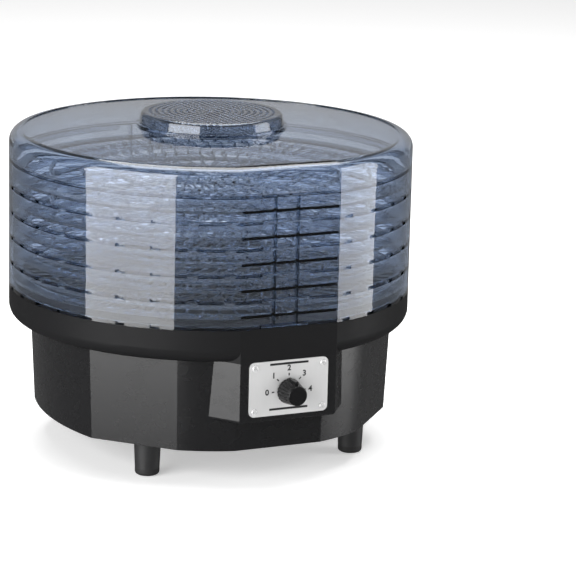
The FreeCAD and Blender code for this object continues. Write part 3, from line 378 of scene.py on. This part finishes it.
# ------------------------------------------------------------------ trays, lid and vent
class DEHYDRATOR_OT_trays_and_lid(bpy.types.Operator):
    """Gives the trays, the lid and the vent cap their clear smoked plastic"""

    bl_idname = "dehydrator.trays_and_lid"
    bl_label = "Trays, lid and vent cap"

    def execute(self, context):
        values = context.scene.dehydrator_smoked
        material, tree, shader = new_finish(
            "Clear smoked plastic", Transmission_Weight=1.0, IOR=values.ior, Coat_Weight=1.0)
        marks = effect(tree, "Handling marks", (-700, -100), Patch_size=0.07,
                       Clean=values.gloss_low, Handled=values.gloss_high)
        place = shader_node(tree, "ShaderNodeTexCoord", (-1100, -400))
        flow = shader_node(tree, "ShaderNodeTexNoise", (-800, -400))
        flow.inputs["Scale"].default_value = 22.0
        flow.inputs["Detail"].default_value = 1.0
        tree.links.new(place.outputs["Object"], flow.inputs["Vector"])
        shaded_colour(tree, shader, values.deep_tint, values.tint, flow.outputs["Fac"])
        tree.links.new(marks.outputs["Roughness"], shader.inputs["Roughness"])
        bumped(tree, shader, flow.outputs["Fac"], values.ripple)
        smoke = shader_node(tree, "ShaderNodeVolumeAbsorption", (0, -400))
        smoke.inputs["Color"].default_value = (*values.smoke, 1.0)
        smoke.inputs["Density"].default_value = values.density
        tree.links.new(smoke.outputs["Volume"], tree.nodes["Material Output"].inputs["Volume"])
        give(material, *TRAYS, "lid", "lid_top", "vent_cap", "vent_pivot")
        return {"FINISHED"}


# ------------------------------------------------------------------ base
class DEHYDRATOR_OT_base(bpy.types.Operator):
    """Gives the housing, deck, grille, duct, cover and feet their mouldings' finishes"""

    bl_idname = "dehydrator.base"
    bl_label = "Base and feet"

    def execute(self, context):
        values = context.scene.dehydrator_base
        shell = moulded_finish("Satin housing plastic", values.shell, values.roughness,
                               values.grain_size, values.grain_depth, 0.02,
                               Specular_IOR_Level=values.gloss)
        inner = moulded_finish("Matt inner plastic", values.inner, 0.52,
                               values.grain_size * 0.8, values.grain_depth * 1.5)
        rubber = moulded_finish("Foot rubber", values.rubber, 0.68, 0.0006, 0.00005)
        rim = moulded_finish("Satin rim plastic", values.shell, values.rim_roughness,
                             values.grain_size, values.grain_depth, 0.02,
                             Specular_IOR_Level=values.rim_gloss)
        give(shell, "base_body_front", "base_body_left", "base_body_right")
        give(rim, "base_rim")
        give(inner, *OUTLET, "bottom_cover", "air_deck", "air_duct", "switch_body",
             "terminal_block", "foot_front_left", "foot_front_right",
             "foot_rear_left", "foot_rear_right")
        give(rubber, "cord_gland", "foot_pad_front_left", "foot_pad_front_right",
             "foot_pad_rear_left", "foot_pad_rear_right")
        return {"FINISHED"}


# ------------------------------------------------------------------ control plate
def add_flat_bar(form, centre, length, width, turn, front, thickness):
    """A thin printed bar on the plate, turned clockwise by an angle from upright."""
    made = bmesh.ops.create_cube(form, size=1.0)["verts"]
    place = (Matrix.Translation(Vector((centre[0], front - thickness / 2.0, centre[1])))
             @ Matrix.Rotation(turn, 4, "Y") @ Matrix.Diagonal((width, thickness, length, 1.0)))
    bmesh.ops.transform(form, matrix=place, verts=made)


def add_numeral(form, text, size, centre, front, thickness):
    """One printed figure on the plate, upright and facing the front."""
    curve = bpy.data.curves.new("numeral", "FONT")
    curve.body = text
    curve.size = size
    curve.align_x = "CENTER"
    curve.align_y = "CENTER"
    curve.extrude = thickness / 2.0
    curve.offset = size * 0.03
    holder = bpy.data.objects.new("numeral", curve)
    bpy.context.scene.collection.objects.link(holder)
    graph = bpy.context.evaluated_depsgraph_get()
    mesh = bpy.data.meshes.new_from_object(holder.evaluated_get(graph))
    place = Matrix.Translation(Vector((centre[0], front - thickness / 2.0, centre[1])))
    mesh.transform(place @ Matrix.Rotation(math.radians(90.0), 4, "X"))
    form.from_mesh(mesh)
    bpy.data.meshes.remove(mesh)
    bpy.data.objects.remove(holder)
    bpy.data.curves.remove(curve)


class DEHYDRATOR_OT_control_plate(bpy.types.Operator):
    """Brushes the control plate, prints its dial and polishes its screws"""

    bl_idname = "dehydrator.control_plate"
    bl_label = "Control plate and dial print"

    def execute(self, context):
        values = context.scene.dehydrator_controls
        plate = metal_finish("Brushed plate", values.plate, 0.5, (2600.0, 2600.0, 45.0), 0.000006,
                             metallic=values.plate_metallic)
        screws = metal_finish("Bright screw steel", (0.82, 0.82, 0.82), 0.16, (900.0, 900.0, 900.0),
                              0.000004, 0.05, metallic=values.screw_metallic)
        give(plate, "control_plate")
        give(screws, "plate_screws")
        ink = moulded_finish("Dial ink", values.ink, 0.45, 0.0002, 0.000004)
        front = PLATE_LOW.y
        form = bmesh.new()
        first = -values.step * (values.settings - 1) / 2.0
        for index in range(values.settings):
            turn = first + index * values.step
            out = Vector((math.sin(turn), math.cos(turn)))
            middle = (values.tick_inner + values.tick_outer) / 2.0
            add_flat_bar(form, (KNOB_AXIS.x + out.x * middle, KNOB_AXIS.z + out.y * middle),
                         values.tick_outer - values.tick_inner, values.tick_width, turn,
                         front, values.ink_height)
            add_numeral(form, str(index), values.numeral_size,
                        (KNOB_AXIS.x + out.x * values.numeral_radius,
                         KNOB_AXIS.z + out.y * values.numeral_radius), front, values.ink_height)
        middle_x = (PLATE_LOW.x + PLATE_HIGH.x) / 2.0
        for height in (PLATE_LOW.z + values.low_rule, PLATE_HIGH.z - values.high_rule):
            add_flat_bar(form, (middle_x, height), values.rule_length, values.rule_width,
                         math.radians(90.0), front, values.ink_height)
        mesh = bpy.data.meshes.new("dial_marks")
        form.to_mesh(mesh)
        form.free()
        new_piece("dial_marks", mesh, ink, "base")
        return {"FINISHED"}


class DEHYDRATOR_OT_knob(bpy.types.Operator):
    """Finishes the selector knob and the switch's metal parts"""

    bl_idname = "dehydrator.knob"
    bl_label = "Selector knob"

    def execute(self, context):
        values = context.scene.dehydrator_controls
        knob = moulded_finish("Knob plastic", values.knob, 0.3, 0.0005, 0.000008, 0.05,
                              Specular_IOR_Level=0.3)
        steel = metal_finish("Zinc plate", (0.62, 0.62, 0.60), 0.34, (500.0, 500.0, 500.0), 0.000006)
        give(knob, "knob")
        give(steel, "switch_nut", "switch_shaft")
        return {"FINISHED"}


# ------------------------------------------------------------------ fasteners
class DEHYDRATOR_OT_fasteners(bpy.types.Operator):
    """Gives the screws, clip and motor brackets their zinc plating"""

    bl_idname = "dehydrator.fasteners"
    bl_label = "Screws and brackets"

    def execute(self, context):
        zinc, tree, shader = new_finish("Passivated zinc", metallic=1.0)
        place = shader_node(tree, "ShaderNodeTexCoord", (-1000, 0))
        spangle = shader_node(tree, "ShaderNodeTexVoronoi", (-800, 0), feature="F1")
        spangle.inputs["Scale"].default_value = 900.0
        tree.links.new(place.outputs["Object"], spangle.inputs["Vector"])
        marks = effect(tree, "Handling marks", (-700, -250), Patch_size=0.01, Clean=0.26, Handled=0.42)
        shaded_colour(tree, shader, (0.50, 0.50, 0.52), (0.66, 0.65, 0.58), spangle.outputs["Distance"])
        tree.links.new(marks.outputs["Roughness"], shader.inputs["Roughness"])
        bumped(tree, shader, spangle.outputs["Distance"], 0.000005)
        give(zinc, "cover_screws", "deck_screws", "duct_screws", "foot_screws", "motor_screws",
             "fan_clip", "motor_bracket_lower", "motor_bracket_upper")
        return {"FINISHED"}


# ------------------------------------------------------------------ motor and fan
class DEHYDRATOR_OT_motor_and_fan(bpy.types.Operator):
    """Finishes the stacked core, wrapped coil, turned rotor and moulded fan"""

    bl_idname = "dehydrator.motor_and_fan"
    bl_label = "Motor and fan"

    def execute(self, context):
        core, tree, shader = new_finish("Stacked sheet steel", metallic=1.0)
        place = shader_node(tree, "ShaderNodeTexCoord", (-1000, 0))
        sheets = shader_node(tree, "ShaderNodeTexWave", (-800, 0), wave_type="BANDS",
                             bands_direction="Z", wave_profile="SAW")
        sheets.inputs["Scale"].default_value = 320.0
        sheets.inputs["Distortion"].default_value = 0.4
        tree.links.new(place.outputs["Object"], sheets.inputs["Vector"])
        marks = effect(tree, "Handling marks", (-700, -250), Patch_size=0.02, Clean=0.34, Handled=0.52)
        shaded_colour(tree, shader, (0.16, 0.16, 0.17), (0.30, 0.30, 0.31), sheets.outputs["Fac"])
        tree.links.new(marks.outputs["Roughness"], shader.inputs["Roughness"])
        bumped(tree, shader, sheets.outputs["Fac"], 0.00008)
        give(core, "motor_core")

        tape, tree, shader = new_finish("Wrapped coil tape", Sheen_Weight=0.15)
        place = shader_node(tree, "ShaderNodeTexCoord", (-1000, 0))
        wraps = shader_node(tree, "ShaderNodeTexWave", (-800, 100), wave_type="BANDS",
                            bands_direction="X", wave_profile="SAW")
        wraps.inputs["Scale"].default_value = 42.0
        wraps.inputs["Distortion"].default_value = 1.2
        threads = shader_node(tree, "ShaderNodeTexMagic", (-800, -150), turbulence_depth=1)
        threads.inputs["Scale"].default_value = 2400.0
        both = shader_node(tree, "ShaderNodeMath", (-600, 0), operation="ADD")
        tree.links.new(place.outputs["Object"], wraps.inputs["Vector"])
        tree.links.new(place.outputs["Object"], threads.inputs["Vector"])
        tree.links.new(wraps.outputs["Fac"], both.inputs[0])
        tree.links.new(threads.outputs["Fac"], both.inputs[1])
        shaded_colour(tree, shader, (0.48, 0.36, 0.09), (0.76, 0.62, 0.22), wraps.outputs["Fac"])
        shader.inputs["Roughness"].default_value = 0.62
        bumped(tree, shader, both.outputs[0], 0.00015)
        give(tape, "motor_coil")

        steel, tree, shader = new_finish("Turned steel", metallic=1.0)
        place = shader_node(tree, "ShaderNodeTexCoord", (-1200, 0))
        centred = shader_node(tree, "ShaderNodeVectorMath", (-1000, 0), operation="SUBTRACT")
        centred.inputs[1].default_value = FAN_AXIS
        rings = shader_node(tree, "ShaderNodeTexWave", (-800, 0), wave_type="RINGS",
                            rings_direction="Z", wave_profile="TRI")
        rings.inputs["Scale"].default_value = 420.0
        rings.inputs["Distortion"].default_value = 0.6
        tree.links.new(place.outputs["Object"], centred.inputs[0])
        tree.links.new(centred.outputs[0], rings.inputs["Vector"])
        marks = effect(tree, "Handling marks", (-700, -250), Patch_size=0.02, Clean=0.2, Handled=0.34)
        shaded_colour(tree, shader, (0.48, 0.48, 0.48), (0.66, 0.66, 0.66), rings.outputs["Fac"])
        tree.links.new(marks.outputs["Roughness"], shader.inputs["Roughness"])
        bumped(tree, shader, rings.outputs["Fac"], 0.00001)
        give(steel, "motor_rotor", "motor_shaft")

        fan = moulded_finish("Fan plastic", (0.52, 0.52, 0.49), 0.46, 0.0008, 0.00003)
        give(fan, "fan_blades")
        return {"FINISHED"}


# ------------------------------------------------------------------ heater
COIL_SHARES = (0.5, 0.75, 1.0)      # the rings' radii as shares of the largest
POINTS_PER_TURN = 9


def add_coiled_ring(curve, ring_radius, coil_radius, height, pitch):
    """One ring of coiled wire about the fan's axis."""
    turns = round(2.0 * math.pi * ring_radius / pitch)
    points = turns * POINTS_PER_TURN
    spline = curve.splines.new("POLY")
    spline.points.add(points - 1)
    for index, point in enumerate(spline.points):
        along = 2.0 * math.pi * index / points
        around = along * turns
        radius = ring_radius + coil_radius * math.cos(around)
        point.co = (FAN_AXIS.x + radius * math.cos(along), FAN_AXIS.y + radius * math.sin(along),
                    height + coil_radius * math.sin(around), 1.0)
    spline.use_cyclic_u = True
    spline.use_smooth = True


class DEHYDRATOR_OT_heater(bpy.types.Operator):
    """Winds the heater's coiled wire and finishes its mica plates and safety parts"""

    bl_idname = "dehydrator.heater"
    bl_label = "Heater"

    def execute(self, context):
        values = context.scene.dehydrator_heater
        wire, tree, shader = new_finish("Oxidised heater wire", metallic=1.0)
        marks = effect(tree, "Handling marks", (-700, 0), Patch_size=0.02, Clean=0.32, Handled=0.55)
        shaded_colour(tree, shader, values.colour, scaled(values.colour, 0.55), marks.outputs["Mask"])
        tree.links.new(marks.outputs["Roughness"], shader.inputs["Roughness"])
        low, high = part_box("heater_coils")
        outside = (high.z - low.z) / 2.0
        middle = (high.z + low.z) / 2.0
        reach = (high.x - low.x) / 2.0 - outside
        curve = bpy.data.curves.new("heater_wire", "CURVE")
        curve.dimensions = "3D"
        curve.bevel_depth = values.wire_radius
        curve.bevel_resolution = 1
        for share in COIL_SHARES:
            add_coiled_ring(curve, reach * share, outside - values.wire_radius, middle,
                            values.coil_pitch)
        piece = new_piece("heater_wire", curve, wire, "base")
        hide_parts("heater_coils")

        mica, tree, shader = new_finish("Mica board", Sheen_Weight=0.1)
        place = shader_node(tree, "ShaderNodeTexCoord", (-1000, 0))
        flakes = shader_node(tree, "ShaderNodeTexVoronoi", (-800, 0), feature="F1")
        flakes.inputs["Scale"].default_value = 420.0
        tree.links.new(place.outputs["Object"], flakes.inputs["Vector"])
        marks = effect(tree, "Handling marks", (-700, -250), Patch_size=0.02, Clean=0.3, Handled=0.55)
        shaded_colour(tree, shader, (0.60, 0.54, 0.42), (0.40, 0.33, 0.25), flakes.outputs["Distance"])
        tree.links.new(marks.outputs["Roughness"], shader.inputs["Roughness"])
        bumped(tree, shader, flakes.outputs["Distance"], 0.00006)
        give(mica, "heater_frame")

        pressed = metal_finish("Pressed aluminium", (0.70, 0.70, 0.70), 0.38, (700.0, 700.0, 700.0))
        give(pressed, "thermostat", "thermal_fuse", "heater_coils")
        return {"FINISHED"}


# ------------------------------------------------------------------ studio
# plan angle from the front towards the right in degrees, distance, height, width and height of the light
LEFT_SOFTBOX = (-68.5, 2.0, 0.45, 2.0, 2.1)
RIGHT_SOFTBOX = (65.6, 2.0, 0.45, 1.07, 2.1)
BACK_LIGHT = (156.6, 4.0, 1.0, 5.0, 2.0)
OVERHEAD_PLACE = (0.25, 0.35, 2.2)
OVERHEAD_AIM = (0.0, 0.0, 0.2)
OVERHEAD_SIDE = 2.0
FLOOR_DROP = 0.0002
FLOOR_GLOW = 0.42
GLASS_BOUNCES = 24
SENSOR_WIDTH = 36.0


def softbox(name, plan_angle, distance, height, width, tall, power):
    """A soft rectangular light that faces the axis from a plan angle, front towards right."""
    data = bpy.data.lights.new(name, "AREA")
    data.shape = "RECTANGLE"
    data.size = width
    data.size_y = tall
    data.energy = power
    light = bpy.data.objects.new(name, data)
    turn = math.radians(plan_angle)
    place = Vector((distance * math.sin(turn), -distance * math.cos(turn), height))
    light.location = place
    aim = Vector((0.0, 0.0, height)) - place
    light.rotation_mode = "QUATERNION"
    light.rotation_quaternion = aim.to_track_quat("-Z", "Y")
    light.visible_camera = False
    bpy.context.scene.collection.objects.link(light)
    return light


def overhead_light(power):
    """A square softbox above and behind the object, turned down to it."""
    light = softbox("overhead_softbox", 0.0, 1.0, 0.0, OVERHEAD_SIDE, OVERHEAD_SIDE, power)
    light.location = OVERHEAD_PLACE
    light.rotation_quaternion = (Vector(OVERHEAD_AIM) - Vector(OVERHEAD_PLACE)).to_track_quat("-Z", "Y")


def floor_material(colour):
    """Pale floor with a faint mottling and a slight glow that lightens its shadows."""
    material, tree, shader = new_finish("Pale floor", roughness=0.8, Emission_Color=(1.0, 1.0, 1.0, 1.0),
                                        Emission_Strength=FLOOR_GLOW)
    place = shader_node(tree, "ShaderNodeTexCoord", (-1000, 0))
    cloud = shader_node(tree, "ShaderNodeTexNoise", (-800, 0))
    cloud.inputs["Scale"].default_value = 3.0
    tree.links.new(place.outputs["Object"], cloud.inputs["Vector"])
    shaded_colour(tree, shader, scaled(colour, 0.99), colour, cloud.outputs["Fac"])
    return material


class DEHYDRATOR_OT_studio(bpy.types.Operator):
    """Lays the floor, hangs the soft lights and sets up the camera"""

    bl_idname = "dehydrator.studio"
    bl_label = "Studio"

    def execute(self, context):
        values = context.scene.dehydrator_studio
        scene = context.scene
        half = values.floor_size
        mesh = bpy.data.meshes.new("floor")
        corners = [(-half, -half, 0.0), (half, -half, 0.0), (half, half, 0.0), (-half, half, 0.0)]
        mesh.from_pydata(corners, [], [(0, 1, 2, 3)])
        floor = bpy.data.objects.new("floor", mesh)
        scene.collection.objects.link(floor)
        floor.data.materials.append(floor_material(values.floor_colour))
        floor.location.z = -FLOOR_DROP
        floor.visible_glossy = False

        softbox("left_softbox", *LEFT_SOFTBOX, values.key_power)
        softbox("right_softbox", *RIGHT_SOFTBOX, values.side_power)
        overhead_light(values.top_power)
        softbox("back_light", *BACK_LIGHT, values.back_power)

        world = bpy.data.worlds.new("Studio air")
        scene.world = world
        world.use_nodes = True
        tree = world.node_tree
        background = tree.nodes["Background"]
        rays = shader_node(tree, "ShaderNodeLightPath", (-600, 0))
        mix = shader_node(tree, "ShaderNodeMix", (-300, 0), data_type="RGBA")
        dim = values.ambient
        mix.inputs["A"].default_value = (dim, dim, dim, 1.0)
        mix.inputs["B"].default_value = (1.0, 1.0, 1.0, 1.0)
        tree.links.new(rays.outputs["Is Camera Ray"], mix.inputs["Factor"])
        tree.links.new(mix.outputs["Result"], background.inputs["Color"])

        lens = bpy.data.cameras.new("camera")
        lens.sensor_width = SENSOR_WIDTH
        lens.lens = values.lens
        lens.clip_start = 0.05
        lens.clip_end = 60.0
        camera = bpy.data.objects.new("camera", lens)
        scene.collection.objects.link(camera)
        level = math.cos(values.elevation)
        back = Vector((-math.sin(values.azimuth) * level, -math.cos(values.azimuth) * level,
                       math.sin(values.elevation)))
        across = Vector((0.0, 0.0, 1.0)).cross(back).normalized()
        upward = back.cross(across)
        right = math.cos(values.roll) * across + math.sin(values.roll) * upward
        top = -math.sin(values.roll) * across + math.cos(values.roll) * upward
        turned = Matrix((right, top, back)).transposed().to_4x4()
        eye = Vector(values.aim_point) + back * values.distance
        camera.matrix_world = Matrix.Translation(eye) @ turned
        scene.camera = camera

        scene.view_settings.view_transform = "Standard"
        scene.cycles.max_bounces = GLASS_BOUNCES
        scene.cycles.transmission_bounces = GLASS_BOUNCES
        return {"FINISHED"}


# ------------------------------------------------------------------ panel and registration
OPERATORS = (
    DEHYDRATOR_OT_trays_and_lid,
    DEHYDRATOR_OT_base,
    DEHYDRATOR_OT_control_plate,
    DEHYDRATOR_OT_knob,
    DEHYDRATOR_OT_fasteners,
    DEHYDRATOR_OT_motor_and_fan,
    DEHYDRATOR_OT_heater,
    DEHYDRATOR_OT_studio,
)


class DEHYDRATOR_PT_sidebar(bpy.types.Panel):
    """Lists the steps that finish the dehydrator"""

    bl_idname = "DEHYDRATOR_PT_sidebar"
    bl_label = "Dehydrator"
    bl_space_type = "VIEW_3D"
    bl_region_type = "UI"
    bl_category = "Dehydrator"

    def draw(self, context):
        column = self.layout.column(align=True)
        for operator in OPERATORS:
            column.operator(operator.bl_idname, text=operator.bl_label)
        for values in (context.scene.dehydrator_smoked, context.scene.dehydrator_base,
                       context.scene.dehydrator_controls, context.scene.dehydrator_heater,
                       context.scene.dehydrator_studio):
            box = self.layout.box()
            for name in values.__annotations__:
                box.prop(values, name)


SETTINGS = {
    "dehydrator_smoked": SmokedPlasticSettings,
    "dehydrator_base": BaseFinishSettings,
    "dehydrator_controls": ControlSettings,
    "dehydrator_heater": HeaterWireSettings,
    "dehydrator_studio": StudioSettings,
}


def register():
    for name, group in SETTINGS.items():
        bpy.utils.register_class(group)
        setattr(bpy.types.Scene, name, PointerProperty(type=group))
    for operator in OPERATORS:
        bpy.utils.register_class(operator)
    bpy.utils.register_class(DEHYDRATOR_PT_sidebar)


def unregister():
    bpy.utils.unregister_class(DEHYDRATOR_PT_sidebar)
    for operator in reversed(OPERATORS):
        bpy.utils.unregister_class(operator)
    for name, group in SETTINGS.items():
        delattr(bpy.types.Scene, name)
        bpy.utils.unregister_class(group)


def main():
    register()
    bpy.ops.dehydrator.trays_and_lid()
    bpy.ops.dehydrator.base()
    bpy.ops.dehydrator.control_plate()
    bpy.ops.dehydrator.knob()
    bpy.ops.dehydrator.fasteners()
    bpy.ops.dehydrator.motor_and_fan()
    bpy.ops.dehydrator.heater()
    bpy.ops.dehydrator.studio()


if __name__ == "__main__":
    main()
